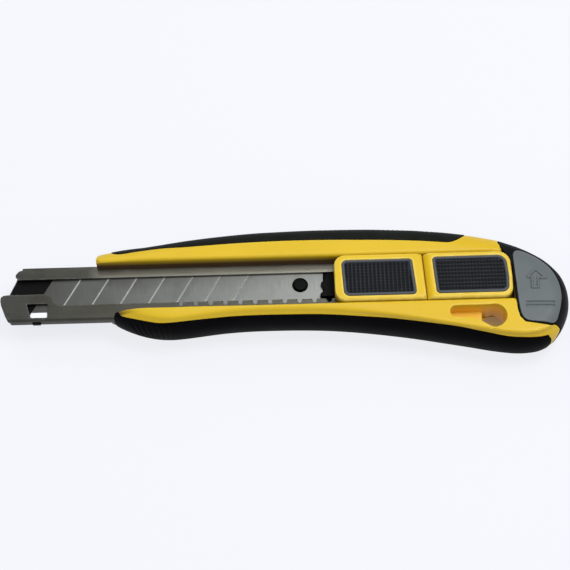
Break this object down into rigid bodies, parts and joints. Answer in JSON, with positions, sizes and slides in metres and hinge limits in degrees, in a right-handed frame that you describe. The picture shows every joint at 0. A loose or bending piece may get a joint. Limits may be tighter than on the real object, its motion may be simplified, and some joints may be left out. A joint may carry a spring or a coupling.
{
  "type": "utility knife",
  "caption": "Snap-off utility knife with a sprung rear button, a thumb slide for its segmented blade, a sliding end cap and reserve blades in a yellow and black handle.",
  "frame": {"origin": "centre of the bounding box's bottom face; the knife lies on its back casing", "axes": "+X along the knife from the blade's nose to the end cap, +Y towards the spine, +Z out of the face that carries the thumb slide"},
  "size_m": [0.1908, 0.0444, 0.0198],
  "materials": {
    "yellow_plastic": "fine moulded satin, slightly worn at the edges",
    "slider_plastic": "fine moulded satin",
    "grip_rubber": "soft moulded rubber, fine ribs",
    "pad_rubber": "ribbed dark rubber",
    "black_nylon": "smooth nylon",
    "cap_plastic": "glossy moulded rim",
    "cap_face": "satin metallic grey face",
    "tray_plastic": "moulded",
    "rail_steel": "plated sheet steel, brushed along its length",
    "blade_steel": "ground carbon steel",
    "spring_steel": "bright spring steel",
    "screw_steel": "zinc plated"
  },
  "bodies": {
    "handle": {"front_shell": "yellow_plastic", "back_shell": "yellow_plastic", "upper_grip": "grip_rubber", "lower_grip": "grip_rubber", "blade_rail": "rail_steel", "rail_bed": "black_nylon", "feed_spring": "spring_steel", "magazine_tray": "tray_plastic", "spare_blade_upper": "blade_steel", "spare_blade_lower": "blade_steel", "magazine_spring": "spring_steel", "case_screws": "screw_steel", "rail_rivets": "screw_steel"},
    "blade_slide": {"slider_frame": "slider_plastic", "slider_pad": "pad_rubber", "blade_carrier": "black_nylon", "detent_spring": "spring_steel", "blade": "blade_steel"},
    "rear_button": {"feed_button": "slider_plastic", "feed_button_pad": "pad_rubber", "feed_plunger": "black_nylon"},
    "cap": {"end_cap": "cap_plastic", "cap_plate": "cap_face", "cap_catch": "spring_steel"}
  },
  "joints": [
    {"name": "blade_travel", "type": "slide", "parent": "handle", "child": "blade_slide", "axis": [-1, 0, 0], "range_m": [0, 0.075]},
    {"name": "button_press", "type": "slide", "parent": "handle", "child": "rear_button", "axis": [0, 0, -1], "range_m": [0, 0.0012], "stiffness_N_per_m": 500, "springref_m": -0.001, "deforming": ["feed_spring"]},
    {"name": "cap_travel", "type": "slide", "parent": "handle", "child": "cap", "axis": [0, 1, 0], "range_m": [0, 0.025]}
  ]
}
